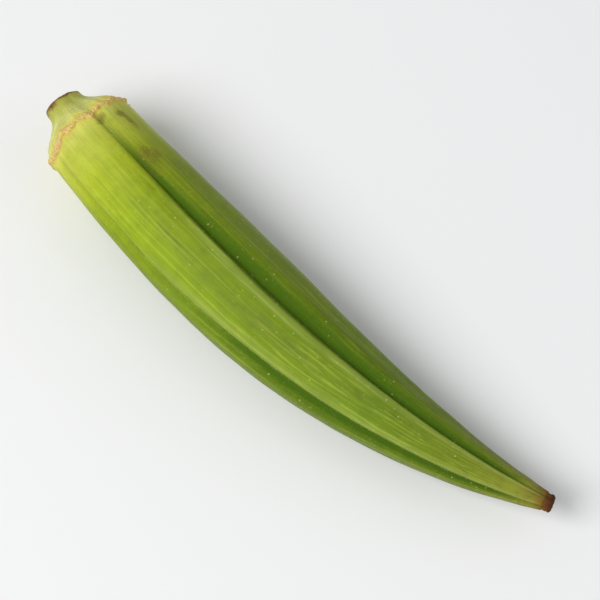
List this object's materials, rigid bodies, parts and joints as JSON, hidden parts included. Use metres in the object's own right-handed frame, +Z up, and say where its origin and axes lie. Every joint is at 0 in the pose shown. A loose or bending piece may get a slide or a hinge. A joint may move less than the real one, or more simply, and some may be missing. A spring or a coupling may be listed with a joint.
{
  "type": "okra pod",
  "caption": "Fresh okra pod lying on its side: ribbed, curved and tapering, with a corky calyx ring, domed cap, cut stem and blunt brown tip.",
  "frame": {"origin": "the middle of the pod's bounding box, on the surface that it rests on", "axes": "+X from the cut stem to the tip, +Y to the side that the tip curves towards, +Z up"},
  "size_m": [0.107, 0.0224, 0.0182],
  "materials": {
    "okra_skin": "satin"
  },
  "bodies": {
    "root": {"okra_pod": "okra_skin"}
  },
  "joints": []
}
